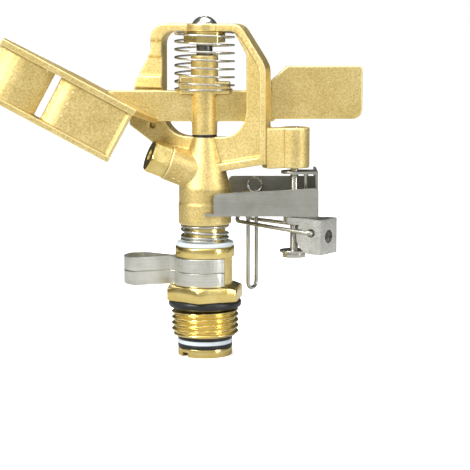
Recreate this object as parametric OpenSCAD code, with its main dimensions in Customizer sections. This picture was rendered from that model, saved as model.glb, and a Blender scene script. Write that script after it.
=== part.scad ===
// Part-circle impact sprinkler head. The swivel axis is Z.
// Z = 0 is the gasket's lower face, where the rim of the riser seats.

/* [Inlet] */
// Major diameter of the inlet thread
thread_d = 20.95; // [19:0.05:27]
// Length of the inlet thread below the gasket
thread_len = 8.8; // [7:0.1:14]
// Outside diameter of the thread gasket
gasket_d = 22.8; // [22:0.1:34]
// Thickness of the thread gasket
gasket_t = 2.5; // [1.5:0.1:4]
// Width of the hexagon across its flats
hex_af = 22; // [21.2:0.1:30]
// Height of the hexagon
hex_h = 4.5; // [3:0.1:8]
// Diameter of the seat that carries the two friction collars
seat_d = 17.2; // [16.2:0.1:18]
// Height of the rim above the friction collars
rim_h = 3.3; // [2:0.1:6]
// Diameter of the rim above the friction collars
rim_d = 18.5; // [18.2:0.1:24]

/* [Friction collars] */
// Height of one friction collar
collar_h = 4.35; // [3:0.05:7]
// Thickness of the collar strip
strip_t = 0.9; // [0.6:0.05:1.2]
// Distance from the swivel axis to the tip of the handle loop
handle_reach = 25.7; // [23:0.1:34]
// Half width of the handle loop
handle_half_w = 7.5; // [6:0.1:9]
// Direction of the handle loops about the swivel axis
handle_angle = 172; // [165:1:185]

/* [Swivel tube] */
// Outside diameter of the swivel tube
tube_d = 12.9; // [11:0.1:13.4]
// Water bore of the swivel tube
bore_d = 9.5; // [6:0.1:9.8]
// Diameter of the flange under the seals
flange_d = 17; // [15.5:0.1:18]
// Thickness of the flange under the seals
flange_t = 2.6; // [2:0.1:4]
// Thickness of each of the three lower seal washers
seal_t = 1.25; // [0.8:0.05:2]
// Thickness of the upper thrust washer
thrust_t = 1.2; // [0.8:0.1:2]
// Height of the gap that holds the sand guard spring
guard_gap = 5.5; // [4.8:0.1:9]
// Wire diameter of the sand guard spring
guard_wire = 0.9; // [0.6:0.05:1]

/* [Body casting] */
// Diameter of the barrel of the body
body_d = 16.1; // [15.5:0.1:17]
// Height of the barrel and cone, from the foot to the arm washer
body_h = 27.3; // [25:0.1:33]
// Depth of the socket that takes the swivel tube
socket_depth = 10; // [7:0.1:11]
// Diameter of the cone where it meets the arm washer
neck_d = 7.1; // [6.6:0.1:9]
// Turn of the bridge plane about the swivel axis
bridge_turn = -17; // [-20:0.5:-16]
// Radius of the outer face of the right leg
leg_out = 20.5; // [20:0.1:24]
// Radius of the inner edge of the right leg
leg_in = 13.8; // [12.8:0.1:14.5]
// Radius of the inner face of the left leg
left_in = 13.2; // [12.6:0.1:15]
// Height of the underside of the top bar above the arm washer
bar_under = 32.4; // [31:0.1:40]
// Thickness of the top bar
bar_t = 2.3; // [1.8:0.1:4]
// Thickness of the web
web_t = 3; // [2:0.1:3.6]
// Depth of the rim flanges
flange_depth = 6.2; // [5:0.1:7]
// Thickness of the rim flanges
rib_t = 2.1; // [1.5:0.1:3]

/* [Nozzle] */
// Upward angle of the jet
jet_angle = 22; // [15:1:27]
// Turn of the jet towards the front
jet_turn = 13; // [8:1:20]
// Outside diameter of the nozzle port
port_d = 11; // [10:0.1:12]
// Distance of the port's face along the jet
port_len = 12.9; // [12:0.1:16]
// Diameter of the nozzle's shank
shank_d = 7.6; // [6.6:0.1:8.2]
// Width of the nozzle's hexagon across its flats
nozzle_af = 9.5; // [8.6:0.1:11]
// Length of the nozzle's hexagon
nozzle_len = 5.8; // [4:0.1:9]
// Orifice diameter of the nozzle
orifice_d = 3.4; // [2:0.1:5.5]

/* [Drive arm] */
// Diameter of the arm pin
pin_d = 5; // [4:0.1:5.4]
// Outside diameter of the hub
hub_d = 7.9; // [7.7:0.1:9]
// Length of the hub
hub_len = 24.5; // [22:0.1:25]
// Thickness of the arm plate
arm_t = 3; // [2.2:0.1:3.2]
// Height of the arm plate
arm_h = 9.5; // [7:0.1:11]
// Distance from the hub's lower end to the arm plate
arm_rise = 4.1; // [3.6:0.1:6]
// Distance from the swivel axis to the end of the paddle
paddle_reach = 48.8; // [40:0.1:60]
// Height of the paddle
paddle_h = 16.4; // [12:0.1:20]
// Tilt of the spoon
spoon_tilt = 28.3; // [24:0.1:31]
// Length of the spoon along its top rail
spoon_len = 52; // [44:0.1:60]
// Distance from the top rail to the bottom rail
spoon_drop = 17.3; // [15:0.1:21]
// Distance that the spoon stands in front of the arm's mid plane
spoon_depth = 13; // [12:0.1:15]
// Outside diameter of the arm spring
arm_spring_d = 18.8; // [18.2:0.1:20]
// Wire diameter of the arm spring
arm_wire = 0.65; // [0.5:0.05:0.8]

/* [Trip mechanism] */
// Distance of the trip pin from the swivel axis, to the right
trip_x = 27.8; // [27:0.1:30]
// Distance of the trip pin behind the swivel axis (negative is in front)
trip_y = -2; // [-3:0.1:-1]
// Diameter of the boss that holds the trip pin
boss_d = 9.4; // [8:0.1:10]
// Diameter of the trip pin
trip_pin_d = 2.5; // [2:0.1:3]
// Thickness of the bracket's sheet
sheet_t = 0.8; // [0.6:0.05:1]
// Height of the bracket's floor above the foot of the body
bracket_rise = 3.4; // [3:0.1:5]
// Distance of the near plate in front of the swivel axis
near_y = 10; // [9.7:0.1:12]
// Distance of the far plate behind the swivel axis
far_y = 11.6; // [11.2:0.1:13]
// Width of the block along its barrel
block_w = 9.4; // [8:0.1:10]
// Height of the block
block_h = 10.8; // [9.6:0.1:11]
// Length of the block
block_len = 8.9; // [8:0.1:11]
// Turn of the block about the trip pin
block_turn = -35; // [-40:1:-30]
// Diameter of the trip wire
wire_d = 1.25; // [1:0.05:1.4]
// Reach of the trip wire from its pivot
wire_reach = 28.5; // [27.5:0.1:31]
// Drop of the trip wire below its pivot
wire_drop = 19.7; // [16:0.1:21]

/* [Hidden] */
$fn = 64;

cast_brass = "#dcc87e";
turned_brass = "#f0d878";
stainless = "#b4b4a8";
rubber = "#303436";
nylon = "#dfe9f0";

fit = 0.05;          // radial running clearance
seat_fit = 0.02;     // radial clearance of a fixed joint
face_gap = 0.05;     // gap between faces that turn on each other
cut = 0.5;           // how far a cut runs past a face
far_cut = 60;        // a length longer than any piece it cuts

// heights of the stack on the swivel axis
hex_z = gasket_t;
seat_z = hex_z + hex_h;
collar_gap = 0.1;
rim_z = seat_z + 2 * collar_h + 3 * collar_gap;
rim_top = rim_z + rim_h;
thrust_z = rim_top + face_gap;
guard_z = thrust_z + thrust_t;
foot_z = guard_z + guard_gap;
seal_z = -thread_len - face_gap;
flange_top = seal_z - 3 * seal_t;
tube_bottom = flange_top - flange_t;
tube_top = foot_z + socket_depth;

// sleeve and seals
neck_relief_d = thread_d - 2.4;
hex_turn = 21.5;
seal_d = flange_d + 0.1;
thrust_d = rim_d - 0.5;
screwdriver_slot_w = 2.4;
screwdriver_slot_h = 1.3;
guard_r = tube_d / 2 + 0.25 + guard_wire / 2;
guard_rise = guard_gap - guard_wire * 2.8;
slot_turn = 42;

// body casting
neck_z = foot_z + body_h;
cup_h = 6.5;
cup_step = 0.2;
barrel_top = foot_z + 11.5;
shoulder_z = foot_z + 14.5;
cone_z = foot_z + 17.6;
shoulder_r = body_d / 2 - 0.85;
cone_r = body_d / 2 - 1.65;
jet_z = foot_z + 14.8;
chamber_top = foot_z + 16.4;
pin_z = foot_z + 19.2;
washer_t = 0.5;
hub_z = neck_z + washer_t + 2 * face_gap;
bar_z = neck_z + bar_under;
bar_top = bar_z + bar_t;
floor_z = neck_z;
window_r = 8;
half_rim = flange_depth / 2;
left_bar_w = 3.7;
left_out = left_in + left_bar_w;
left_near = 1.9;
left_step_z = neck_z + 18.5;
left_top_near = 2.5;
ledge_near = 2.6;
ledge_h = 3.6;
corner_h = 5;
foot_rib_z = neck_z - 11.6;
foot_rib_rise = 3.6;
foot_rib_t = 2.6;
slant_run = 8.3;
slant_start = leg_out - slant_run;
slant_drop = 12.7;
corner_r = 2.5;
port_bore_d = shank_d - 1.2;
shank_len = 5;
screw_d = 4;
screw_len = 6;
screw_hole_d = 3;
pad_gap = 0.1;
pad_front = (leg_in + 1) * sin(-bridge_turn) - arm_t / 2 - pad_gap;

// drive arm
plate_z = hub_z + arm_rise;
plate_top = plate_z + arm_h;
seat_boss_d = 16.1;
seat_boss_w = 5.2;
seat_high_h = 4.4;
seat_low_h = 2.8;
bush_od = pin_d + 1.2;
bush_len = 5.8;
hub_top = hub_z + hub_len;
upper_hub_d = hub_d + 0.6;
paddle_z = plate_z + 0.7;
paddle_start = leg_out;
spoon_x = -15.4;
spoon_z = plate_z + 0.35;
rail_t = 2;
vane_t = 1.6;
vane_start = 6.6;
slot_start = 31.2;
slot_w = 1.8;
bushing_h = 3.4;
bushing_af = 11.4;
spring_turns = 8;

// trip mechanism
boss_z = foot_z + 17.8;
boss_h = 12.5;
floor_top = foot_z + bracket_rise + sheet_t;
bracket_end = trip_x + 7.2;
near_left = 2.8;
near_low_h = 6.2;
near_high_h = 7.9;
far_h = 9.7;
ear_z = boss_z - 1.8;
notch_r = body_d / 2 + cup_step + 0.45;
fork_play = 2.3;
post_x = trip_x + 3.6;
post_d = 1.4;
pin_bottom = foot_z - 8.6;
pin_head_h = 1.5;
pin_head_d = 7.2;
pin_washer_d = 9;
pin_washer_t = 0.7;
block_z = foot_z - 8.2;
block_r = block_h / 2;
barrel_u = 9.2;
barrel_z = block_z + block_r;
block_face_u = barrel_u - block_r + block_len;
wire_z = barrel_z + 1.2;
lug_t = 2.2;
lug_r = 3.4;
grub_d = 4.1;
grub_depth = 3.2;
strand_w = block_w / 2 + wire_d / 2 + 0.1;
leg_w = 2.3;
leg_u = wire_reach - 3.5;
return_h = 2.1;
strand_rise = 1.7;
strand_straight = 14;

function polar(r, a) = [r * cos(a), r * sin(a)];
function arc(c, r, a0, a1, n = 8) = [for (i = [0 : n]) c + polar(r, a0 + (a1 - a0) * i / n)];
function unit(v) = v / norm(v);
function tangent(p, i) = unit(p[min(i + 1, len(p) - 1)] - p[max(i - 1, 0)]);

// takes each corner of a path off with a short curve
function bend(a, b, c, r) =
  let (k = min(r, norm(a - b) / 2, norm(c - b) / 2), p = b + k * unit(a - b), q = b + k * unit(c - b))
  [for (i = [0 : 5]) let (t = i / 5) (1 - t) * (1 - t) * p + 2 * t * (1 - t) * b + t * t * q];
function rounded(p, r) = concat(
  [p[0]],
  [for (i = [1 : len(p) - 2]) each bend(p[i - 1], p[i], p[i + 1], r)],
  [p[len(p) - 1]]
);

// round wire along a list of points; up is never along the wire
module swept_wire(p, r, up, sides = 8) {
  n = len(p);
  rings = [for (i = [0 : n - 1])
    let (t = tangent(p, i), a = unit(cross(up, t)), b = cross(t, a))
    for (j = [0 : sides - 1]) p[i] + r * (a * cos(360 * j / sides) + b * sin(360 * j / sides))];
  walls = [for (i = [0 : n - 2]) for (j = [0 : sides - 1])
    [i * sides + j, (i + 1) * sides + j, (i + 1) * sides + (j + 1) % sides, i * sides + (j + 1) % sides]];
  start = [for (j = [0 : sides - 1]) j];
  end = [for (j = [sides - 1 : -1 : 0]) (n - 1) * sides + j];
  polyhedron(points = rings, faces = concat(walls, [start, end]), convexity = 10);
}

module ring(od, id, h) {
  difference() {
    cylinder(d = od, h = h);
    translate([0, 0, -cut]) cylinder(d = id, h = h + 2 * cut);
  }
}

// stands an outline drawn in radius and height up in the plane of the bridge
module bridge_plate(back, front) {
  rotate([0, 0, bridge_turn])
    translate([0, back, 0])
      rotate([90, 0, 0])
        linear_extrude(height = back + front)
          children();
}

module along_jet() {
  translate([0, 0, jet_z])
    rotate([0, 0, 180 + jet_turn])
      rotate([0, 90 - jet_angle, 0])
        children();
}

module at_trip() {
  translate([trip_x, trip_y, 0]) children();
}

// ---- bearing sleeve and its gasket ----

module bearing_sleeve() {
  color(turned_brass)
    difference() {
      union() {
        translate([0, 0, -thread_len]) cylinder(d = thread_d, h = thread_len);
        translate([0, 0, -cut]) cylinder(d = neck_relief_d, h = gasket_t + 2 * cut);
        hexagon_collar();
        translate([0, 0, seat_z - cut]) cylinder(d = seat_d, h = rim_z - seat_z + 2 * cut);
        translate([0, 0, rim_z]) cylinder(d = rim_d, h = rim_h);
      }
      translate([0, 0, -thread_len - cut])
        cylinder(d = tube_d + 2 * fit, h = thread_len + rim_top + 2 * cut);
      thread_chamfer();
    }
}

module hexagon_collar() {
  corner_d = hex_af / cos(30);
  intersection() {
    translate([0, 0, hex_z]) rotate([0, 0, hex_turn]) cylinder(d = corner_d, h = hex_h, $fn = 6);
    translate([0, 0, hex_z - cut])
      cylinder(d1 = corner_d + 2 * hex_h, d2 = hex_af + 0.9, h = hex_h + cut);
  }
}

module thread_chamfer() {
  chamfer = 0.9;
  translate([0, 0, -thread_len - cut])
    difference() {
      cylinder(d = thread_d + 4, h = chamfer + cut);
      translate([0, 0, -cut])
        cylinder(d1 = thread_d - 2 * (chamfer + 2 * cut), d2 = thread_d, h = chamfer + 2 * cut);
    }
}

module thread_gasket() {
  color(rubber)
    ring(gasket_d, neck_relief_d + 2 * seat_fit, gasket_t);
}

// ---- swivel tube, seals and sand guard ----

module swivel_tube() {
  color(turned_brass)
    difference() {
      union() {
        translate([0, 0, tube_bottom]) cylinder(d = flange_d, h = flange_t);
        translate([0, 0, tube_bottom]) cylinder(d = tube_d, h = tube_top - tube_bottom);
      }
      translate([0, 0, tube_bottom - cut]) cylinder(d = bore_d, h = tube_top - tube_bottom + 2 * cut);
      rotate([0, 0, slot_turn])
        translate([-flange_d, -screwdriver_slot_w / 2, tube_bottom - cut])
          cube([2 * flange_d, screwdriver_slot_w, screwdriver_slot_h + cut]);
    }
}

module seal(level) {
  translate([0, 0, seal_z - level * seal_t]) ring(seal_d, tube_d + 2 * seat_fit, seal_t);
}

module seal_washer_upper() {
  color(rubber) seal(1);
}

module wear_washer() {
  color(nylon) seal(2);
}

module seal_washer_lower() {
  color(rubber) seal(3);
}

module thrust_washer() {
  color(nylon)
    translate([0, 0, thrust_z]) ring(thrust_d, tube_d + 2 * seat_fit, thrust_t);
}

// two closed coils below, one open coil, one closed coil under the body
function guard_height(t) =
  t < 1.6 ? t * guard_wire * 1.04
  : t < 2.8 ? 1.6 * guard_wire * 1.04 + (t - 1.6) * guard_rise / 1.2
  : 1.6 * guard_wire * 1.04 + guard_rise;

module sand_guard_spring() {
  steps = 24;
  turns = 3.5;
  path = [for (i = [0 : turns * steps])
    let (t = i / steps, q = polar(guard_r, -360 * t - 60))
    [q.x, q.y, guard_z + guard_wire / 2 + 0.05 + guard_height(t)]];
  color(stainless) swept_wire(path, guard_wire / 2, [0, 0, 1]);
}

// ---- body casting ----

module body_casting() {
  color(cast_brass)
    difference() {
      union() {
        barrel();
        along_jet() cylinder(d = port_d, h = port_len);
        bridge();
        trip_boss();
      }
      translate([0, 0, foot_z - cut]) cylinder(d = tube_d + 2 * seat_fit, h = socket_depth + cut);
      cylinder(d = bore_d, h = chamber_top);
      translate([0, 0, pin_z]) cylinder(d = pin_d + 2 * seat_fit, h = neck_z - pin_z + cut);
      along_jet() cylinder(d = port_bore_d, h = port_len + cut);
      along_jet()
        translate([0, 0, port_len - shank_len]) cylinder(d = shank_d + 2 * seat_fit, h = shank_len + cut);
      translate([0, 0, bar_z - cut]) cylinder(d = screw_d + 2 * seat_fit, h = bar_t + 2 * cut);
      at_trip()
        translate([0, 0, boss_z - cut]) cylinder(d = trip_pin_d + 2 * seat_fit, h = boss_h + 2 * cut);
      spotting_dimple();
    }
}

module barrel() {
  r = body_d / 2;
  rotate_extrude()
    polygon([
      [0, foot_z], [r + cup_step - 0.4, foot_z], [r + cup_step, foot_z + 0.4],
      [r + cup_step, foot_z + cup_h], [r, foot_z + cup_h + cup_step],
      [r, barrel_top], [shoulder_r, shoulder_z], [cone_r, cone_z],
      [neck_d / 2, neck_z], [0, neck_z]
    ]);
}

module spotting_dimple() {
  rotate([0, 0, bridge_turn])
    translate([-16.6, -web_t / 2 + 0.9, neck_z + 3.2])
      rotate([90, 0, 0]) cylinder(d = 2, h = far_cut);
}

module window_outline() {
  top_r = 4;
  polygon(concat(
    arc([leg_in - window_r, floor_z + window_r], window_r, -90, 0),
    [[leg_in, bar_z - 7], [leg_in - 4, bar_z]],
    arc([-left_in + top_r, bar_z - top_r], top_r, 90, 180, 6),
    arc([-left_in + window_r, floor_z + window_r], window_r, 180, 270)
  ));
}

module right_outline() {
  polygon(rounded([
    [0, foot_rib_z], [leg_out, foot_rib_z + foot_rib_rise], [leg_out, bar_top - slant_drop],
    [slant_start, bar_top], [0, bar_top]
  ], corner_r));
}

module left_outline() {
  round_r = 5;
  polygon(concat(
    [[0, bar_top]],
    arc([-left_out + round_r, bar_top - round_r], round_r, 90, 180, 6),
    [
      [-left_out, bar_z - 6.2], [-left_out - 4.3, left_step_z],
      [-left_out - 5.6, left_step_z - 4], [-left_out - 7.4, neck_z + 3.2],
      [-left_out + 0.5, neck_z - 2.4], [-9, cone_z - 0.5], [0, cone_z]
    ]
  ));
}

// part of the left side between two levels
module left_band(low, high) {
  intersection() {
    left_outline();
    translate([-leg_out - 6, low]) square([leg_out, high - low]);
  }
}

module rim_outline() {
  slope = norm([slant_run, slant_drop]);
  inset = rib_t * slope / slant_drop;
  polygon(concat(
    rounded([
      [leg_out - rib_t, foot_rib_z + foot_rib_rise], [leg_out, foot_rib_z + foot_rib_rise],
      [leg_out, bar_top - slant_drop], [slant_start, bar_top], [-left_out + 6, bar_top]
    ], corner_r),
    rounded([
      [-left_out + 6, bar_z], [slant_start + slant_run * bar_t / slant_drop - inset, bar_z],
      [leg_out - rib_t, bar_top - slant_drop + (rib_t - inset) * slant_drop / slant_run],
      [leg_out - rib_t, foot_rib_z + foot_rib_rise + 1]
    ], corner_r)
  ));
}

module foot_rib_outline() {
  polygon([
    [2, foot_rib_z + 0.2], [leg_out, foot_rib_z + foot_rib_rise],
    [leg_out, foot_rib_z + foot_rib_rise + foot_rib_t], [2, foot_rib_z + 0.2 + foot_rib_t]
  ]);
}

module bridge() {
  difference() {
    union() {
      bridge_plate(web_t / 2, web_t / 2) right_outline();
      bridge_plate(half_rim, left_near) left_outline();
      bridge_plate(half_rim, ledge_near) left_band(left_step_z - ledge_h, left_step_z);
      bridge_plate(half_rim, left_top_near) left_band(bar_top - 2 * corner_h, bar_top);
      bridge_plate(half_rim, half_rim) left_band(bar_top - corner_h, bar_top);
      bridge_plate(half_rim, half_rim) rim_outline();
      bridge_plate(half_rim, half_rim) foot_rib_outline();
      stop_pad();
    }
    bridge_plate(far_cut / 2, far_cut / 2) window_outline();
  }
  translate([0, 0, bar_z]) cylinder(d = 11, h = bar_t);
}

// pad on the right leg that the resting arm lies against
module stop_pad() {
  rotate([0, 0, bridge_turn])
    translate([leg_in + 1, 0, plate_z + 1.5])
      intersection() {
        cube([4, 6, arm_h - 3]);
        rotate([0, 0, -bridge_turn])
          translate([-far_cut / 2, -far_cut + pad_front, 0]) cube([far_cut, far_cut, arm_h]);
      }
}

module trip_boss() {
  arm_start = polar(leg_out - 1.2, bridge_turn);
  d = [trip_x, trip_y] - arm_start;
  plate_w = 4.4;
  at_trip() translate([0, 0, boss_z]) cylinder(d = boss_d, h = boss_h);
  translate([arm_start.x, arm_start.y, boss_z])
    rotate([0, 0, atan2(d.y, d.x)])
      translate([0, -plate_w / 2, 0]) cube([norm(d), plate_w, boss_h]);
}

// ---- nozzle ----

module nozzle() {
  color(turned_brass)
    along_jet()
      difference() {
        union() {
          translate([0, 0, port_len - shank_len + 0.1]) cylinder(d = shank_d, h = shank_len);
          intersection() {
            translate([0, 0, port_len + 0.1]) rotate([0, 0, 20])
              cylinder(d = nozzle_af / cos(30), h = nozzle_len, $fn = 6);
            translate([0, 0, port_len])
              cylinder(d1 = nozzle_af + nozzle_len * 2, d2 = nozzle_af + 0.2, h = nozzle_len + 0.1);
          }
        }
        cylinder(d = orifice_d, h = far_cut);
        translate([0, 0, port_len - shank_len])
          cylinder(d1 = port_bore_d, d2 = orifice_d, h = shank_len + 1);
      }
}

// ---- arm pin, top bushing and screw ----

module arm_pin() {
  color("#5c5c58")
    difference() {
      translate([0, 0, pin_z]) cylinder(d = pin_d, h = bar_z - pin_z);
      translate([0, 0, bar_z - screw_len]) cylinder(d = screw_hole_d, h = screw_len + cut);
    }
}

module pin_screw() {
  head_d = 7.7;
  head_h = 2.4;
  dome_r = (pow(head_d / 2, 2) + pow(head_h, 2)) / (2 * head_h);
  slot_w = 1;
  color(stainless)
    difference() {
      union() {
        translate([0, 0, bar_z]) cylinder(d = screw_d, h = bar_t + 0.2);
        translate([0, 0, bar_z - screw_len + 1]) cylinder(d = screw_hole_d - 2 * seat_fit, h = screw_len);
        intersection() {
          translate([0, 0, bar_top]) cylinder(d = head_d, h = head_h);
          translate([0, 0, bar_top + head_h - dome_r]) sphere(r = dome_r);
        }
      }
      for (turn = [30, 120])
        rotate([0, 0, turn])
          translate([-2, -slot_w / 2, bar_top + head_h - 1.2]) cube([4, slot_w, 2]);
    }
}

module top_bushing() {
  color(turned_brass)
    translate([0, 0, bar_z - bushing_h - 0.1])
      difference() {
        rotate([0, 0, 10]) cylinder(d = bushing_af / cos(30), h = bushing_h, $fn = 6);
        translate([0, 0, -cut]) cylinder(d = pin_d + 2 * seat_fit, h = bushing_h + 2 * cut);
      }
}

module arm_washer() {
  color(rubber)
    translate([0, 0, neck_z + face_gap]) ring(neck_d + 0.7, pin_d + 2 * seat_fit, washer_t);
}

module arm_spring() {
  steps = 24;
  z0 = plate_top + arm_wire / 2 + 0.15;
  z1 = bar_z - arm_wire / 2 - 0.15;
  path = [for (i = [0 : spring_turns * steps])
    let (t = i / steps, q = polar((arm_spring_d - arm_wire) / 2, -360 * t - 20),
      open = min(max(t - 0.5, 0), spring_turns - 1) / (spring_turns - 1))
    [q.x, q.y, z0 + (z1 - z0) * open]];
  color(stainless) swept_wire(path, arm_wire / 2, [0, 0, 1]);
}

// ---- drive arm ----

module drive_arm() {
  color(cast_brass)
    difference() {
      union() {
        translate([0, 0, hub_z]) cylinder(d = hub_d, h = hub_len);
        translate([0, 0, plate_top]) cylinder(d = upper_hub_d, h = hub_top - plate_top);
        spring_seat();
        arm_plate();
        spoon();
      }
      translate([0, 0, hub_z - cut]) cylinder(d = bush_od + 2 * seat_fit, h = hub_len + 2 * cut);
    }
}

// two flat wings, the right one lower, with the hub standing out in front of them
module spring_seat() {
  intersection() {
    translate([0, 0, plate_top - 1]) cylinder(d = seat_boss_d, h = seat_high_h + 1);
    union() {
      translate([-seat_boss_d, -seat_boss_w / 2, plate_top - 1])
        cube([seat_boss_d, seat_boss_w, seat_high_h + 1]);
      translate([-cut, -seat_boss_w / 2, plate_top - 1])
        cube([seat_boss_d, seat_boss_w, seat_low_h + 1]);
    }
  }
}

// upright plate in the X-Z plane
module upright(t) {
  translate([0, t / 2, 0])
    rotate([90, 0, 0]) linear_extrude(height = t) children();
}

module arm_plate() {
  run = arm_h / tan(spoon_tilt + 3);
  upright(arm_t)
    polygon([
      [spoon_x + 0.6, plate_z], [paddle_start + 1, plate_z], [paddle_start + 1, plate_top],
      [spoon_x + 0.6 - run, plate_top]
    ]);
  upright(arm_t) paddle_outline();
}

module paddle_outline() {
  round_r = 3;
  chamfer = 5;
  top = paddle_z + paddle_h;
  polygon(concat(
    [[paddle_start, paddle_z]],
    arc([paddle_reach - round_r, paddle_z + round_r], round_r, -90, 0, 6),
    arc([paddle_reach - 1, top - 1], 1, 0, 90, 4),
    [[paddle_start + chamfer, top], [paddle_start, top - chamfer + 0.5]]
  ));
}

// inside, x runs out along the spoon, y towards the front and z up
module spoon() {
  translate([spoon_x, 0, spoon_z])
    rotate([0, spoon_tilt, 0])
      rotate([0, 0, 180]) {
        translate([-0.6, 0, -rail_t / 2]) linear_extrude(height = rail_t) top_rail_outline();
        translate([vane_start, spoon_depth - 6.4, -spoon_drop])
          cube([spoon_len - vane_start, 6.4, rail_t - 0.2]);
        translate([0, 0, -spoon_drop + 0.4]) linear_extrude(height = spoon_drop) inner_vane_outline();
        translate([0, 0, -spoon_drop + 0.4]) linear_extrude(height = spoon_drop) outer_vane_outline();
      }
}

module top_rail_outline() {
  polygon([
    [0, -arm_t / 2], [26, -arm_t / 2], [spoon_len + 0.6, spoon_depth - 6.4],
    [spoon_len + 0.6, spoon_depth], [7, spoon_depth], [0, arm_t / 2]
  ]);
}

// flat from the lip to the bend, then curving away from the front to the slot
module inner_vane_outline() {
  bend = 8;
  face = spoon_depth - 1.1;
  flat_end = slot_start - 6;
  sweep = 48;
  front = arc([flat_end, face - bend], bend, 90, 90 - sweep);
  back = arc([flat_end, face - bend], bend - vane_t, 90 - sweep, 90);
  polygon(concat([[vane_start, face - vane_t], [vane_start, face + 0.7],
    [vane_start + 1.2, face + 0.7], [vane_start + 1.6, face]], front, back));
}

// bows out towards the front between the slot and the tip
module outer_vane_outline() {
  start = slot_start + slot_w;
  span = spoon_len - start;
  r = span * 0.72;
  half = asin(span / 2 / r);
  c = [start + span / 2, spoon_depth - 0.6 - r];
  polygon(concat(arc(c, r, 90 + half, 90 - half, 10), arc(c, r - vane_t, 90 - half, 90 + half, 10)));
}

module arm_bush(z) {
  translate([0, 0, z]) ring(bush_od, pin_d + 2 * fit, bush_len);
}

module arm_bush_lower() {
  color(turned_brass) arm_bush(hub_z);
}

module arm_bush_upper() {
  color(turned_brass) arm_bush(hub_top - bush_len);
}

// ---- trip mechanism ----

module trip_pin() {
  color(stainless)
    at_trip() {
      translate([0, 0, pin_bottom]) cylinder(d = trip_pin_d, h = boss_z + boss_h - pin_bottom);
      translate([0, 0, pin_bottom - pin_head_h]) cylinder(d = pin_head_d, h = pin_head_h);
    }
}

module trip_pin_washer() {
  color(stainless)
    at_trip()
      translate([0, 0, pin_bottom + seat_fit])
        ring(pin_washer_d, trip_pin_d + 2 * seat_fit, pin_washer_t);
}

module side_plate(y, outline_left, low_h, high_h) {
  lip = 1.4;
  translate([0, y + sheet_t, floor_top - sheet_t])
    rotate([90, 0, 0])
      linear_extrude(height = sheet_t)
        polygon(concat(
          [[outline_left, 0], [bracket_end, 0]],
          arc([bracket_end - lip, high_h + sheet_t - lip], lip, 0, 90, 5),
          arc([outline_left + lip, low_h + sheet_t - lip], lip, 90, 180, 5)
        ));
}

module trip_bracket() {
  hole_d = trip_pin_d + 2 * fit;
  ear_left = trip_x - 4.4;
  ear_half_w = 4.2;
  color(stainless)
    difference() {
      union() {
        bracket_floor();
        side_plate(-near_y, near_left, near_low_h, near_high_h);
        side_plate(far_y - sheet_t, near_left + 4.6, far_h, far_h);
        translate([bracket_end - sheet_t, -near_y, floor_top - sheet_t])
          cube([sheet_t, near_y + far_y, near_high_h]);
        translate([bracket_end - sheet_t, trip_y - ear_half_w, floor_top - sheet_t])
          cube([sheet_t, far_y - trip_y + ear_half_w, ear_z + sheet_t - floor_top + sheet_t]);
        translate([trip_x, trip_y - ear_half_w, ear_z]) cube([bracket_end - trip_x, 2 * ear_half_w, sheet_t]);
        translate([trip_x, trip_y, ear_z]) cylinder(r = ear_half_w, h = sheet_t);
      }
      at_trip() translate([0, 0, foot_z]) cylinder(d = hole_d, h = far_cut);
      translate([post_x, trip_y, foot_z]) cylinder(d = post_d + 2 * seat_fit, h = far_cut);
    }
}

// floor of the bracket with the fork that straddles the body
module bracket_floor() {
  translate([0, 0, floor_top - sheet_t])
    linear_extrude(height = sheet_t)
      difference() {
        translate([0, -near_y]) square([bracket_end, near_y + far_y]);
        circle(r = notch_r);
        translate([0, fork_play]) circle(r = notch_r);
        square([notch_r, fork_play]);
      }
}

module trip_post() {
  color(stainless)
    translate([post_x, trip_y, floor_top - sheet_t])
      cylinder(d = post_d, h = ear_z + sheet_t - floor_top + sheet_t);
}

// floating coil with a leg to the post and a leg to the far plate
module trip_spring() {
  wire = 0.6;
  coil_r = 2.2;
  pitch = wire * 1.1;
  steps = 20;
  turns = 3;
  c = [15.6, 5.4, floor_top + 7.6];
  coil = [for (i = [0 : turns * steps])
    let (t = i / steps, q = polar(coil_r, 360 * t - 90))
    c + [q.x, -t * pitch, q.y]];
  reach = [post_x - c.x, post_d / 2 + wire / 2 + trip_y - c.y + turns * pitch];
  first = [for (k = [5 : -1 : 1])
    c + [-k * 1.3, (far_y - sheet_t - wire - c.y) * k * k / 25, -coil_r - k * 0.15]];
  last = [for (k = [1 : 6])
    c + [reach.x * k / 6, reach.y * k * k / 36 - turns * pitch, -coil_r - k * 0.2]];
  color(stainless) swept_wire(concat(first, coil, last), wire / 2, [0, 1, 0]);
}

// inside, x points out from the trip pin to the block and y across it
module at_block() {
  at_trip() rotate([0, 0, block_turn]) children();
}

module trip_block() {
  color(stainless)
    at_block()
      difference() {
        union() {
          intersection() {
            union() {
              translate([barrel_u, block_w / 2, barrel_z])
                rotate([90, 0, 0]) cylinder(r = block_r, h = block_w);
              translate([barrel_u, -block_w / 2, block_z]) cube([block_len, block_w, block_h]);
            }
            translate([0, -block_w / 2, block_z]) cube([block_face_u, block_w, block_h]);
          }
          translate([0, -lug_r, block_z + block_h - lug_t]) cube([barrel_u, 2 * lug_r, lug_t]);
          translate([0, 0, block_z + block_h - lug_t]) cylinder(r = lug_r, h = lug_t);
        }
        translate([0, 0, block_z]) cylinder(d = trip_pin_d + 2 * fit, h = block_h + cut);
        translate([barrel_u, far_cut / 2, wire_z])
          rotate([90, 0, 0]) cylinder(d = wire_d + 2 * fit, h = far_cut);
        wire_mouth(0);
        wire_mouth(180);
        translate([block_face_u - grub_depth, 0, barrel_z])
          rotate([0, 90, 0]) cylinder(d = grub_d, h = grub_depth + cut);
      }
}

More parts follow.
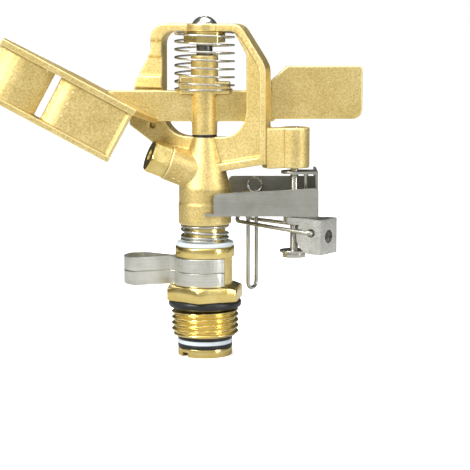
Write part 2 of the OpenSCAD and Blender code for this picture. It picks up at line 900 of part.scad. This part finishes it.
// countersink where the wire bends out of the block
module wire_mouth(turn) {
  depth = 0.9;
  flare = 0.7;
  hole_r = wire_d / 2 + fit;
  translate([barrel_u, 0, wire_z])
    rotate([90, 0, turn])
      translate([0, 0, block_w / 2 - depth])
        cylinder(r1 = hole_r, r2 = hole_r + 2 * flare, h = 2 * depth);
}

module block_grub_screw() {
  length = 2;
  color("#6a6a64")
    at_block()
      translate([block_face_u - grub_depth, 0, barrel_z])
        rotate([0, 90, 0])
          difference() {
            cylinder(d = grub_d - 2 * seat_fit, h = length);
            translate([-grub_d, -0.4, length - 0.7]) cube([2 * grub_d, 0.8, 1]);
          }
}

// corners of one half of the bail, from the pivot in the block to the foot of the hairpin
function half_wire(side) = [
  [0, side * (block_w / 2 - 2), 0],
  [0, side * strand_w, 0],
  [-strand_straight, side * strand_w, strand_rise * strand_straight / leg_u],
  [-wire_reach, side * (leg_w + 1.5), strand_rise],
  [-wire_reach, side * leg_w, strand_rise + return_h],
  [-leg_u, side * leg_w, strand_rise + return_h],
  [-leg_u, side * leg_w, -wire_drop]
];

module trip_wire() {
  half = half_wire(1);
  n = len(half);
  other = half_wire(-1);
  corners = concat(half, [for (i = [n - 1 : -1 : 0]) other[i]]);
  color(stainless)
    at_block()
      translate([barrel_u, 0, wire_z]) swept_wire(rounded(corners, leg_w), wire_d / 2, [0.5, 0.62, -0.6], 10);
}

// ---- friction collars ----

// outline of one side of the strip's outer face, from the open end to the handle's tip
function omega(r, half_w, reach, pinch) =
  let (a = 180 - asin((pinch + 1) / r))
  concat(
    arc([0, 0], r, 42, a, 16),
    [[-r - 1.2, pinch]],
    arc([-reach + half_w, 0], half_w, 112, 180, 10)
  );

module omega_outline(r, half_w, reach, pinch) {
  top = omega(r, half_w, reach, pinch);
  n = len(top);
  polygon(concat(top, [for (i = [n - 2 : -1 : 0]) [top[i].x, -top[i].y]]));
}

module collar(z) {
  ro = seat_d / 2 + fit + strip_t;
  ri = seat_d / 2 + fit;
  pinch = 1.7;
  translate([0, 0, z])
    rotate([0, 0, handle_angle - 180])
      difference() {
        linear_extrude(height = collar_h)
          difference() {
            omega_outline(ro, handle_half_w, handle_reach, pinch);
            omega_outline(ri, handle_half_w - strip_t, handle_reach - strip_t, pinch - strip_t);
            circle(r = ri - 1);
          }
        translate([0, 0, -cut]) cylinder(r = ri, h = collar_h + 2 * cut);
      }
}

module upper_collar() {
  color(stainless) collar(seat_z + 2 * collar_gap + collar_h);
}

module lower_collar() {
  color(stainless) collar(seat_z + collar_gap);
}

bearing_sleeve();
thread_gasket();
swivel_tube();
seal_washer_lower();
wear_washer();
seal_washer_upper();
thrust_washer();
sand_guard_spring();
body_casting();
nozzle();
arm_pin();
pin_screw();
top_bushing();
arm_spring();
arm_washer();
drive_arm();
arm_bush_lower();
arm_bush_upper();
trip_pin();
trip_pin_washer();
trip_bracket();
trip_post();
trip_spring();
trip_block();
block_grub_screw();
trip_wire();
upper_collar();
lower_collar();
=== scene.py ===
import math

import bpy
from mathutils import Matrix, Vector


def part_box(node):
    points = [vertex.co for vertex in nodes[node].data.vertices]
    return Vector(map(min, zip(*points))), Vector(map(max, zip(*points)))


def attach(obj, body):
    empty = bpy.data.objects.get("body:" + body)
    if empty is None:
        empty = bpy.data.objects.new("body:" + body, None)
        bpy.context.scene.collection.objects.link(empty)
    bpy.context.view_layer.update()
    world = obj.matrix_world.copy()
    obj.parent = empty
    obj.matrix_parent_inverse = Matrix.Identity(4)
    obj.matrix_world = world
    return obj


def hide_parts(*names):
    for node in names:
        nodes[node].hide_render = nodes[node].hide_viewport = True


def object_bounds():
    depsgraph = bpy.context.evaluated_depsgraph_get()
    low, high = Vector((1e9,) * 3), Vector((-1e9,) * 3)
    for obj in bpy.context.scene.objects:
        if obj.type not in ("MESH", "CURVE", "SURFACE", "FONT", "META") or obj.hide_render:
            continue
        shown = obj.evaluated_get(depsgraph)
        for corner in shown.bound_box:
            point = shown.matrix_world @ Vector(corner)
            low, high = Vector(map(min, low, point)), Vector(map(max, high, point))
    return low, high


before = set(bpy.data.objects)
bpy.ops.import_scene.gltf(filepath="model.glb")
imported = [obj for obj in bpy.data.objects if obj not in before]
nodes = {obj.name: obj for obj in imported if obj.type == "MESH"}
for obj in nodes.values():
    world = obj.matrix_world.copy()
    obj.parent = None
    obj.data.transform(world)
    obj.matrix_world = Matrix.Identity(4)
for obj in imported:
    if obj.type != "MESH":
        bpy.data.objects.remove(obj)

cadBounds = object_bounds()
mm = 0.001
weldGap = 0.01 * mm


def clamp(value):
    return min(max(value, 0), 1)


def setSmooth(mesh, angle=35):
    mesh.polygons.foreach_set("use_smooth", [True] * len(mesh.polygons))
    mesh.set_sharp_from_angle(angle=math.radians(angle))
    mesh.update()


def makePiece(name, points, faces, angle=35):
    mesh = bpy.data.meshes.new(name)
    mesh.from_pydata([tuple(p) for p in points], [], faces)
    mesh.validate()
    setSmooth(mesh, angle)
    piece = bpy.data.objects.new(name, mesh)
    bpy.context.scene.collection.objects.link(piece)
    return piece


def place(piece, body, node, finish):
    piece.data.materials.clear()
    piece.data.materials.append(finish)
    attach(piece, body)
    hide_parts(node)


def dressNode(node, finish, bevelMm, segments, angle=35):
    part = nodes[node]
    part.data.materials.clear()
    part.data.materials.append(finish)
    if bevelMm:
        weld = part.modifiers.new("weld", "WELD")
        weld.merge_threshold = weldGap
        bevel = part.modifiers.new("edges", "BEVEL")
        bevel.width = bevelMm * mm
        bevel.segments = segments
        bevel.limit_method = "ANGLE"
        bevel.angle_limit = math.radians(angle)
        bevel.use_clamp_overlap = True
        bevel.harden_normals = False


def turned(name, profileAt, steps):
    # profileAt(angle) gives a closed list of (radius, height) pairs, as many at every angle
    points, faces = [], []
    count = len(profileAt(0))
    for i in range(steps):
        a = 2 * math.pi * i / steps
        points += [(r * math.cos(a), r * math.sin(a), z) for r, z in profileAt(a)]
    for i in range(steps):
        j = (i + 1) % steps
        for k in range(count):
            m = (k + 1) % count
            faces.append((i * count + k, j * count + k, j * count + m, i * count + m))
    return makePiece(name, points, faces)


def roundedRing(inner, outer, low, high, edge, arcSteps=4):
    # closed section of a ring with rounded outer corners
    section = [(inner, low)]
    for turn, height in ((-0.5, low + edge), (0, high - edge)):
        for i in range(arcSteps + 1):
            a = math.pi * (turn + 0.5 * i / arcSteps)
            section.append((outer - edge + edge * math.cos(a), height + edge * math.sin(a)))
    return section + [(inner, high)]


def tube(name, path, radius, sides=14):
    # round wire along a path, with domed ends
    path = [Vector(p) for p in path]
    dome = [(0.35, 0.94), (0.7, 0.7), (0.93, 0.35)]  # how far along the wire and how wide, in radii
    directions = []
    for i in range(len(path)):
        a, b = path[max(i - 1, 0)], path[min(i + 1, len(path) - 1)]
        directions.append((b - a).normalized())
    normal = directions[0].orthogonal().normalized()
    rings = []
    for i, (p, d) in enumerate(zip(path, directions)):
        if i:
            normal = directions[i - 1].rotation_difference(d) @ normal
            normal = (normal - d * normal.dot(d)).normalized()
        rings.append((p, d, normal.copy(), radius))

    def domed(ring, way):
        p, d, n, r = ring
        return [(p + d * way * r * (1 - along), d, n, r * wide) for along, wide in dome]

    rings = list(reversed(domed(rings[0], 1))) + rings[1:-1] + domed(rings[-1], -1)
    points, faces = [], []
    for p, d, n, r in rings:
        side = d.cross(n)
        for j in range(sides):
            a = 2 * math.pi * j / sides
            points.append(p + (n * math.cos(a) + side * math.sin(a)) * r)
    for i in range(len(rings) - 1):
        for j in range(sides):
            k = (j + 1) % sides
            faces.append((i * sides + j, i * sides + k, (i + 1) * sides + k, (i + 1) * sides + j))
    faces.append(tuple(reversed(range(sides))))
    faces.append(tuple((len(rings) - 1) * sides + j for j in range(sides)))
    return makePiece(name, points, faces, 60)


def roundedPath(corners, radius, steps=8):
    # takes each corner of a path off with a short curve
    corners = [Vector(c) for c in corners]
    path = [corners[0]]
    for a, b, c in zip(corners, corners[1:], corners[2:]):
        k = min(radius, (a - b).length / 2, (c - b).length / 2)
        p, q = b + (a - b).normalized() * k, b + (c - b).normalized() * k
        for i in range(steps + 1):
            t = i / steps
            path.append(p * (1 - t) ** 2 + b * 2 * t * (1 - t) + q * t * t)
    return path + [corners[-1]]


def newMaterial(name):
    material = bpy.data.materials.new(name)
    material.use_nodes = True
    tree = material.node_tree
    return material, tree, tree.nodes["Principled BSDF"]


def addNoise(tree, scale, stretch=(1, 1, 1), detail=4.0, rough=0.55):
    coords = tree.nodes.new("ShaderNodeTexCoord")
    mapping = tree.nodes.new("ShaderNodeMapping")
    mapping.inputs["Scale"].default_value = stretch
    noise = tree.nodes.new("ShaderNodeTexNoise")
    noise.inputs["Scale"].default_value = scale
    noise.inputs["Detail"].default_value = detail
    noise.inputs["Roughness"].default_value = rough
    tree.links.new(coords.outputs["Object"], mapping.inputs["Vector"])
    tree.links.new(mapping.outputs["Vector"], noise.inputs["Vector"])
    return noise.outputs["Fac"]


def addRamp(tree, source, low, high):
    # low and high: (position, colour)
    ramp = tree.nodes.new("ShaderNodeValToRGB")
    for element, (position, colour) in zip(ramp.color_ramp.elements, (low, high)):
        element.position = position
        element.color = (*colour, 1)
    tree.links.new(source, ramp.inputs["Fac"])
    return ramp.outputs["Color"]


def addMix(tree, factor, a, b, mode="MIX"):
    mix = tree.nodes.new("ShaderNodeMix")
    mix.data_type = "RGBA"
    mix.blend_type = mode
    for socket, value in ((mix.inputs["Factor"], factor), (mix.inputs["A"], a), (mix.inputs["B"], b)):
        if isinstance(value, (int, float, tuple)):
            socket.default_value = value
        else:
            tree.links.new(value, socket)
    return mix.outputs["Result"]


def addSpan(tree, source, fromLow=0.0, fromHigh=1.0, toLow=0.0, toHigh=1.0):
    span = tree.nodes.new("ShaderNodeMapRange")
    ends = {"From Min": fromLow, "From Max": fromHigh, "To Min": toLow, "To Max": toHigh}
    for socket, value in ends.items():
        span.inputs[socket].default_value = value
    tree.links.new(source, span.inputs["Value"])
    return span.outputs["Result"]


def addBump(tree, shader, layers):
    # layers: (height source, strength, distance in mm)
    normal = None
    for source, strength, distance in layers:
        bump = tree.nodes.new("ShaderNodeBump")
        bump.inputs["Strength"].default_value = strength
        bump.inputs["Distance"].default_value = distance * mm
        tree.links.new(source, bump.inputs["Height"])
        if normal:
            tree.links.new(normal, bump.inputs["Normal"])
        normal = bump.outputs["Normal"]
    tree.links.new(normal, shader.inputs["Normal"])


def edgeMask(tree, low, high):
    # 0 at the first pointiness and 1 at the second: edges one way round, hollows the other
    geometry = tree.nodes.new("ShaderNodeNewGeometry")
    return addSpan(tree, geometry.outputs["Pointiness"], low, high)


def castBrass():
    look = {
        "light": (0.92, 0.75, 0.35), "deep": (0.77, 0.60, 0.23), "speckle": (0.6, 0.55, 0.42),
        "worn": (0.98, 0.88, 0.5), "wornAt": (0.505, 0.56),
        # the deep brown for the hollows is painted shade, not dirt: it stands in for the shade that gathers
        # in creases
        "paintedShade": (0.3, 0.21, 0.07), "paintedShadeAt": (0.492, 0.445),
        "rough": (0.42, 0.6), "patchScale": 120, "grainScale": 1900, "pitScale": 800
    }
    material, tree, shader = newMaterial("castBrass")
    patches = addNoise(tree, look["patchScale"], detail=3)
    grain = addNoise(tree, look["grainScale"], detail=4, rough=0.65)
    pits = addNoise(tree, look["pitScale"], detail=2)
    tone = addRamp(tree, patches, (0.3, look["deep"]), (0.7, look["light"]))
    speckle = addRamp(tree, grain, (0.34, look["speckle"]), (0.6, (1, 1, 1)))
    colour = addMix(tree, 0.75, tone, speckle, "MULTIPLY")
    colour = addMix(tree, edgeMask(tree, *look["wornAt"]), colour, (*look["worn"], 1))
    # painted shade: hollows, found by pointiness, are darkened towards deep brown as if in shadow
    colour = addMix(tree, edgeMask(tree, *look["paintedShadeAt"]), colour, (*look["paintedShade"], 1))
    tree.links.new(colour, shader.inputs["Base Color"])
    roughness = addSpan(tree, grain, toLow=look["rough"][0], toHigh=look["rough"][1])
    tree.links.new(roughness, shader.inputs["Roughness"])
    shader.inputs["Metallic"].default_value = 1
    addBump(tree, shader, [(pits, 0.35, 0.12), (grain, 0.55, 0.06)])
    return material


def turnedBrass():
    look = {
        "light": (0.93, 0.76, 0.32), "deep": (0.80, 0.60, 0.19), "rough": (0.16, 0.3),
        "ringStretch": (40, 40, 5200), "patchScale": 260
    }
    material, tree, shader = newMaterial("turnedBrass")
    rings = addNoise(tree, 1, look["ringStretch"], detail=2)
    patches = addNoise(tree, look["patchScale"], detail=4)
    colour = addRamp(tree, patches, (0.3, look["deep"]), (0.7, look["light"]))
    tree.links.new(colour, shader.inputs["Base Color"])
    roughness = addSpan(tree, patches, toLow=look["rough"][0], toHigh=look["rough"][1])
    tree.links.new(roughness, shader.inputs["Roughness"])
    shader.inputs["Metallic"].default_value = 1
    addBump(tree, shader, [(rings, 0.25, 0.02), (patches, 0.1, 0.02)])
    return material


def steel(name, light, deep, rough, scale, bump, stretch=(1, 1, 1)):
    patchScale = 180
    streakShade = (0.78, 0.78, 0.78)
    material, tree, shader = newMaterial(name)
    lines = addNoise(tree, scale, stretch, detail=4, rough=0.6)
    patches = addNoise(tree, patchScale, detail=3)
    tone = addRamp(tree, patches, (0.3, deep), (0.7, light))
    streaks = addRamp(tree, lines, (0.3, streakShade), (0.65, (1, 1, 1)))
    colour = addMix(tree, 0.7, tone, streaks, "MULTIPLY")
    tree.links.new(colour, shader.inputs["Base Color"])
    roughness = addSpan(tree, lines, toLow=rough[0], toHigh=rough[1])
    tree.links.new(roughness, shader.inputs["Roughness"])
    shader.inputs["Metallic"].default_value = 1
    addBump(tree, shader, [(lines, bump, 0.03)])
    return material


def plainSurface(name, light, deep, rough, bump):
    grainScale, patchScale = 1800, 240
    material, tree, shader = newMaterial(name)
    grain = addNoise(tree, grainScale, detail=3)
    patches = addNoise(tree, patchScale, detail=2)
    colour = addRamp(tree, patches, (0.3, deep), (0.7, light))
    tree.links.new(colour, shader.inputs["Base Color"])
    roughness = addSpan(tree, grain, toLow=rough[0], toHigh=rough[1])
    tree.links.new(roughness, shader.inputs["Roughness"])
    addBump(tree, shader, [(grain, bump, 0.04)])
    return material


cast = castBrass()
brass = turnedBrass()
sheet = steel("rolledSheet", light=(0.58, 0.58, 0.53), deep=(0.44, 0.44, 0.39),
              rough=(0.26, 0.42), scale=1, bump=0.3, stretch=(40, 40, 3200))
strip = steel("springStrip", light=(0.82, 0.82, 0.76), deep=(0.66, 0.66, 0.6),
              rough=(0.26, 0.44), scale=1, bump=0.35, stretch=(60, 60, 3800))
wireSteel = steel("drawnWire", light=(0.68, 0.67, 0.6), deep=(0.52, 0.51, 0.45),
                  rough=(0.2, 0.3), scale=260, bump=0.05)
blockSteel = steel("tumbledSteel", light=(0.82, 0.82, 0.77), deep=(0.6, 0.6, 0.55),
                   rough=(0.2, 0.38), scale=1300, bump=0.3)
darkSteel = steel("oiledSteel", light=(0.22, 0.21, 0.2), deep=(0.12, 0.12, 0.11),
                  rough=(0.25, 0.4), scale=900, bump=0.2, stretch=(1, 1, 6))
rubber = plainSurface("blackRubber", light=(0.016, 0.018, 0.019), deep=(0.007, 0.008, 0.009),
                      rough=(0.3, 0.46), bump=0.2)
nylon = plainSurface("paleNylon", light=(0.8, 0.87, 0.93), deep=(0.7, 0.79, 0.87),
                     rough=(0.3, 0.45), bump=0.12)
print("finishes made")

# sizes in mm; the edge lists are (inset, distance from the face) pairs that round an edge
sleeve = {
    "boreD": 12.9, "boreGap": 0.05, "seatD": 17.2, "rimD": 18.5, "collarGap": 0.1,
    "threadD": 20.95, "pitch": 1.814, "depth": 0.85, "neckDepth": 1.2,
    "rootFlat": 0.14, "flank": 0.72, "runIn": 1.0, "runInHeight": 0.15,
    "endAt": 0.3, "endFade": 0.5, "footCut": 0.1, "footRise": 0.08, "topGap": 0.25,
    "acrossFlats": 22, "hexTurn": 21.5, "hexSoft": 0.45, "cornerCut": 0.12, "chamferSlope": 0.62,
    "hexUnder": 0.5, "hexFoot": [(0.35, 0.02), (0.12, 0.1), (0, 0.3)],
    "hexHead": [(0, 0.3), (0.12, 0.1), (0.35, 0)], "hexTopIn": 0.36, "hexTopRing": 0.1,
    "seatFoot": 0.3, "seatHead": [(0, 0.25), (0.1, 0.05)],
    "rimFoot": [(0.3, 0), (0.08, 0.08), (0, 0.3)], "rimHead": [(0, 0.5), (0.12, 0.2), (0.4, 0)],
    "threadRows": 90, "steps": 180
}


def makeSleeve():
    low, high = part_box("bearing_sleeve")
    bottom, rimTop = low.z / mm, high.z / mm
    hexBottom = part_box("thread_gasket")[1].z / mm
    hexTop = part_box("lower_collar")[0].z / mm - sleeve["collarGap"]
    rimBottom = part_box("upper_collar")[1].z / mm + sleeve["collarGap"]
    crest = sleeve["threadD"] / 2
    root = crest - sleeve["depth"]
    neck = crest - sleeve["neckDepth"]
    bore = sleeve["boreD"] / 2 + sleeve["boreGap"]
    flat = sleeve["acrossFlats"] / 2
    corner = flat / math.cos(math.radians(30)) - sleeve["cornerCut"]
    seat = sleeve["seatD"] / 2
    rim = sleeve["rimD"] / 2

    def threadRadius(z, turn):
        phase = ((z - bottom) / sleeve["pitch"] - turn) % 1
        ridge = clamp((1 - abs(2 * phase - 1) - sleeve["rootFlat"]) / sleeve["flank"])
        started = clamp((z - bottom) / sleeve["runIn"])
        height = sleeve["runInHeight"] + (1 - sleeve["runInHeight"]) * started
        left = clamp((-sleeve["endAt"] - z) / sleeve["endFade"])
        return neck + (root + sleeve["depth"] * ridge * height - neck) * left

    def profileAt(a):
        turn = a / (2 * math.pi)
        section = [(bore, bottom), (threadRadius(bottom, turn) - sleeve["footCut"], bottom)]
        for i in range(sleeve["threadRows"] + 1):
            climbed = (-sleeve["topGap"] - bottom) * i / sleeve["threadRows"]
            z = bottom + sleeve["footRise"] + climbed
            section.append((threadRadius(z, turn), z))
        section += [(neck, 0), (neck, hexBottom), (flat - sleeve["hexUnder"], hexBottom)]
        sector = (math.degrees(a) - sleeve["hexTurn"]) % 60 - 30
        across = min(flat / math.cos(math.radians(sector)), corner)
        shoulder = hexTop - max(across - flat - sleeve["hexSoft"], 0) * sleeve["chamferSlope"]
        section += [(across - inset, hexBottom + rise) for inset, rise in sleeve["hexFoot"]]
        section += [(across - inset, shoulder - drop) for inset, drop in sleeve["hexHead"]]
        section += [(min(across - sleeve["hexTopIn"], flat - sleeve["hexTopRing"]), hexTop)]
        section += [(seat + sleeve["seatFoot"], hexTop), (seat, hexTop + sleeve["seatFoot"])]
        section += [(seat + out, rimBottom - drop) for out, drop in sleeve["seatHead"]]
        section += [(rim - inset, rimBottom + rise) for inset, rise in sleeve["rimFoot"]]
        section += [(rim - inset, rimTop - drop) for inset, drop in sleeve["rimHead"]]
        section.append((bore, rimTop))
        return [(r * mm, z * mm) for r, z in section]

    piece = turned("sleeve_with_thread", profileAt, sleeve["steps"])
    place(piece, "base", "bearing_sleeve", brass)


def makeRing(name, node, body, finish, slotName, inner, edge, steps=96):
    low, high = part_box(node)
    outer = (high.x - low.x) / 2 / mm
    corners = roundedRing(inner, outer, low.z / mm, high.z / mm, edge)
    section = [(r * mm, z * mm) for r, z in corners]
    place(turned(name, lambda a: section, steps), body, node, finish)


tubeFit = 6.48  # inner radius of the rings that sit on the swivel tube
ringSeals = [
    ("gasket_ring", "thread_gasket", "base", rubber, "rubber", 9.3, 1.0),
    ("seal_ring_lower", "seal_washer_lower", "head", rubber, "rubber", tubeFit, 0.3),
    ("wear_ring", "wear_washer", "head", nylon, "nylon", tubeFit, 0.12),
    ("seal_ring_upper", "seal_washer_upper", "head", rubber, "rubber", tubeFit, 0.3),
    ("thrust_ring", "thrust_washer", "head", nylon, "nylon", tubeFit, 0.25)
]

makeSleeve()
for ring in ringSeals:
    makeRing(*ring)
print("sleeve and seals made")

casting = {"voxel": 0.27, "passes": 5, "strength": 0.5}


def softCasting(node, name, body):
    # a copy of the node with its edges worn round, as a sand casting has them
    copy = nodes[node].copy()
    copy.data = copy.data.copy()
    copy.name = name
    copy.parent = None
    for key in list(copy.keys()):
        if key.startswith("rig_"):
            del copy[key]
    bpy.context.scene.collection.objects.link(copy)
    weld = copy.modifiers.new("weld", "WELD")
    weld.merge_threshold = weldGap
    remesh = copy.modifiers.new("skin", "REMESH")
    remesh.mode = "VOXEL"
    remesh.voxel_size = casting["voxel"] * mm
    smooth = copy.modifiers.new("soften", "SMOOTH")
    smooth.factor = casting["strength"]
    smooth.iterations = casting["passes"]
    bpy.context.view_layer.update()
    depsgraph = bpy.context.evaluated_depsgraph_get()
    mesh = bpy.data.meshes.new_from_object(copy.evaluated_get(depsgraph))
    copy.modifiers.clear()
    copy.data = mesh
    mesh.name = name
    setSmooth(mesh, 180)
    place(copy, body, node, cast)
    print(name, len(mesh.polygons), "faces")


softCasting("body_casting", "bridge_casting", "head")
softCasting("drive_arm", "arm_casting", "arm")


def coil(name, node, radius, spring, heightAt, steps=40):
    path = []
    for i in range(int(spring["turns"] * steps) + 1):
        t = i / steps
        a = math.radians(spring["start"] - 360 * t)
        path.append((radius * mm * math.cos(a), radius * mm * math.sin(a), heightAt(t) * mm))
    place(tube(name, path, spring["wire"] / 2 * mm), "head", node, wireSteel)


def armSpring():
    spring = {"wire": 0.65, "outer": 18.8, "turns": 8, "start": -20, "flatTurn": 0.5}
    low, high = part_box("arm_spring")
    foot, head = low.z / mm + spring["wire"] / 2, high.z / mm - spring["wire"] / 2
    openTurns = spring["turns"] - 2 * spring["flatTurn"]

    def heightAt(t):
        return foot + (head - foot) * clamp((t - spring["flatTurn"]) / openTurns)

    coil("arm_coil", "arm_spring", (spring["outer"] - spring["wire"]) / 2, spring, heightAt)


def sandSpring():
    spring = {
        "wire": 0.9, "inner": 12.9 / 2 + 0.25, "turns": 3.5, "start": -60,
        "closed": 1.6, "closedPitch": 0.9 * 1.04, "openTurns": 1.2
    }
    low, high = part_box("sand_guard_spring")
    foot, head = low.z / mm + spring["wire"] / 2, high.z / mm - spring["wire"] / 2
    stack = spring["closed"] * spring["closedPitch"]

    def heightAt(t):
        closed = min(t, spring["closed"]) * spring["closedPitch"]
        opened = clamp((t - spring["closed"]) / spring["openTurns"])
        return foot + closed + (head - foot - stack) * opened

    coil("sand_coil", "sand_guard_spring", spring["inner"] + spring["wire"] / 2, spring, heightAt)


armSpring()
sandSpring()

# the bail is laid out from its barrel in the block, then turned to the block's direction
bail = {
    "wire": 1.25, "sides": 16, "turn": -35, "pinAt": (27.8, -2.0), "barrel": 9.2,
    "half": 4.7, "inside": 2, "strand": 5.425, "straight": 14, "reach": 28.5, "spread": 1.5,
    "leg": 2.3, "legAt": 25, "rise": 1.7, "back": 2.1, "drop": 19.7
}


def bailHalf(side):
    b = bail
    lift = b["rise"] + b["back"]
    return [
        (0, side * (b["half"] - b["inside"]), 0),
        (0, side * b["strand"], 0),
        (-b["straight"], side * b["strand"], b["rise"] * b["straight"] / b["legAt"]),
        (-b["reach"], side * (b["leg"] + b["spread"]), b["rise"]),
        (-b["reach"], side * b["leg"], lift),
        (-b["legAt"], side * b["leg"], lift),
        (-b["legAt"], side * b["leg"], -b["drop"])
    ]


def tripWire():
    b = bail
    a = math.radians(b["turn"])
    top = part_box("trip_wire")[1].z / mm - b["wire"] / 2 - b["rise"] - b["back"]
    path = []
    for p in roundedPath(bailHalf(1) + list(reversed(bailHalf(-1))), b["leg"]):
        x, y = p.x + b["barrel"], p.y
        path.append(((b["pinAt"][0] + x * math.cos(a) - y * math.sin(a)) * mm,
                     (b["pinAt"][1] + x * math.sin(a) + y * math.cos(a)) * mm,
                     (top + p.z) * mm))
    piece = tube("trip_bail", path, b["wire"] / 2 * mm, b["sides"])
    place(piece, "wire", "trip_wire", wireSteel)


tripWire()
print("springs and wire made")

# node, finish, width of the softened edge in mm, its segments
dressed = [
    ("swivel_tube", brass, 0.25, 2),
    ("nozzle", brass, 0.25, 2),
    ("top_bushing", brass, 0.25, 2),
    ("arm_bush_lower", brass, 0, 2),
    ("arm_bush_upper", brass, 0.12, 2),
    ("arm_pin", darkSteel, 0, 2),
    ("arm_washer", rubber, 0.15, 2),
    ("pin_screw", wireSteel, 0.12, 2),
    ("trip_pin", wireSteel, 0.2, 2),
    ("trip_pin_washer", wireSteel, 0.15, 2),
    ("trip_post", wireSteel, 0, 2),
    ("trip_spring", wireSteel, 0, 2),
    ("trip_bracket", sheet, 0.25, 2),
    ("trip_block", blockSteel, 0.35, 3),
    ("block_grub_screw", darkSteel, 0.1, 2),
    ("upper_collar", strip, 0.22, 3),
    ("lower_collar", strip, 0.22, 3)
]
for node, finish, bevelMm, segments in dressed:
    dressNode(node, finish, bevelMm, segments)
print("carried-over parts dressed")

view = {"side": 9.4, "away": 550.0, "height": 96.8, "down": 7.7, "lens": 136.0}


def makeCamera():
    data = bpy.data.cameras.new("camera")
    data.lens = view["lens"]
    data.sensor_width = 36
    data.clip_start = 0.01
    data.clip_end = 20
    camera = bpy.data.objects.new("camera", data)
    bpy.context.scene.collection.objects.link(camera)
    camera.location = (view["side"] * mm, -view["away"] * mm, view["height"] * mm)
    camera.rotation_euler = (math.radians(90 - view["down"]), 0, 0)
    bpy.context.scene.camera = camera


# places in metres; every soft box is aimed at the middle of the head
aim = (0, 0, 0.04)
softBoxes = {
    "keyLight": {"at": (-0.45, -0.4, 0.45), "size": (0.22, 0.4), "watts": 4.3, "colour": (1.0, 0.99, 0.97)},
    "fillLight": {"at": (0.6, -0.4, 0.25), "size": (0.12, 0.5), "watts": 1.9, "colour": (0.98, 0.99, 1.0)},
    "topLight": {"at": (0.05, 0.1, 0.7), "size": (0.5, 0.4), "watts": 3.4, "colour": (1, 1, 1)}
}
sky = {"energy": 0.75, "spread": 50, "tilt": (25, -15, 0)}


def makeLights():
    for name, box in softBoxes.items():
        data = bpy.data.lights.new(name, "AREA")
        data.shape = "RECTANGLE"
        data.size, data.size_y = box["size"]
        data.energy = box["watts"]
        data.color = box["colour"]
        light = bpy.data.objects.new(name, data)
        bpy.context.scene.collection.objects.link(light)
        light.location = box["at"]
        light.rotation_euler = (Vector(aim) - light.location).to_track_quat("-Z", "Y").to_euler()
    data = bpy.data.lights.new("skyLight", "SUN")
    data.angle = math.radians(sky["spread"])
    data.energy = sky["energy"]
    sun = bpy.data.objects.new("skyLight", data)
    sun.rotation_euler = [math.radians(a) for a in sky["tilt"]]
    bpy.context.scene.collection.objects.link(sun)


def splitByEye(tree, forMetal, forEye, target):
    # the camera sees one shader, and the metal reflects the other
    path = tree.nodes.new("ShaderNodeLightPath")
    mix = tree.nodes.new("ShaderNodeMixShader")
    tree.links.new(path.outputs["Is Camera Ray"], mix.inputs[0])
    tree.links.new(forMetal, mix.inputs[1])
    tree.links.new(forEye, mix.inputs[2])
    tree.links.new(mix.outputs[0], target)


room = {"front": 0.42, "back": 0.06, "overhead": 2.4}


def makeWorld():
    # white to the eye; the metal sees a darker room, brighter in front and above
    world = bpy.data.worlds.new("studio")
    world.use_nodes = True
    tree = world.node_tree
    dark = tree.nodes["Background"]
    coords = tree.nodes.new("ShaderNodeTexCoord")
    split = tree.nodes.new("ShaderNodeSeparateXYZ")
    tree.links.new(coords.outputs["Generated"], split.inputs["Vector"])
    depth = addSpan(tree, split.outputs["Y"], -0.9, 0.3, room["front"], room["back"])
    rise = addSpan(tree, split.outputs["Z"], 0.1, 0.8, 1, room["overhead"])
    level = tree.nodes.new("ShaderNodeMath")
    level.operation = "MULTIPLY"
    tree.links.new(depth, level.inputs[0])
    tree.links.new(rise, level.inputs[1])
    tree.links.new(level.outputs[0], dark.inputs["Strength"])
    dark.inputs["Color"].default_value = (1, 1, 1, 1)
    plain = tree.nodes.new("ShaderNodeBackground")
    plain.inputs["Color"].default_value = (1, 1, 1, 1)
    splitByEye(tree, dark.outputs[0], plain.outputs[0], tree.nodes["World Output"].inputs["Surface"])
    bpy.context.scene.world = world


ground = {"half": 6.0, "shade": 0.93, "rough": 0.8, "glow": 0.54, "reflected": (0.5, 0.5, 0.49)}


def makeFloor():
    h, z = ground["half"], cadBounds[0].z
    mesh = bpy.data.meshes.new("floor")
    mesh.from_pydata([(-h, -h, z), (h, -h, z), (h, h, z), (-h, h, z)], [], [(0, 1, 2, 3)])
    floor = bpy.data.objects.new("floor", mesh)
    bpy.context.scene.collection.objects.link(floor)
    material, tree, shader = newMaterial("paleFloor")
    shader.inputs["Base Color"].default_value = (ground["shade"],) * 3 + (1,)
    shader.inputs["Roughness"].default_value = ground["rough"]
    shader.inputs["Emission Color"].default_value = (1, 1, 1, 1)
    shader.inputs["Emission Strength"].default_value = ground["glow"]
    dim = tree.nodes.new("ShaderNodeBsdfDiffuse")
    dim.inputs["Color"].default_value = (*ground["reflected"], 1)
    splitByEye(tree, dim.outputs[0], shader.outputs[0], tree.nodes["Material Output"].inputs["Surface"])
    mesh.materials.append(material)


bpy.context.scene.view_settings.view_transform = "Standard"
makeCamera()
makeFloor()
makeWorld()
makeLights()
print("camera, light and floor made")
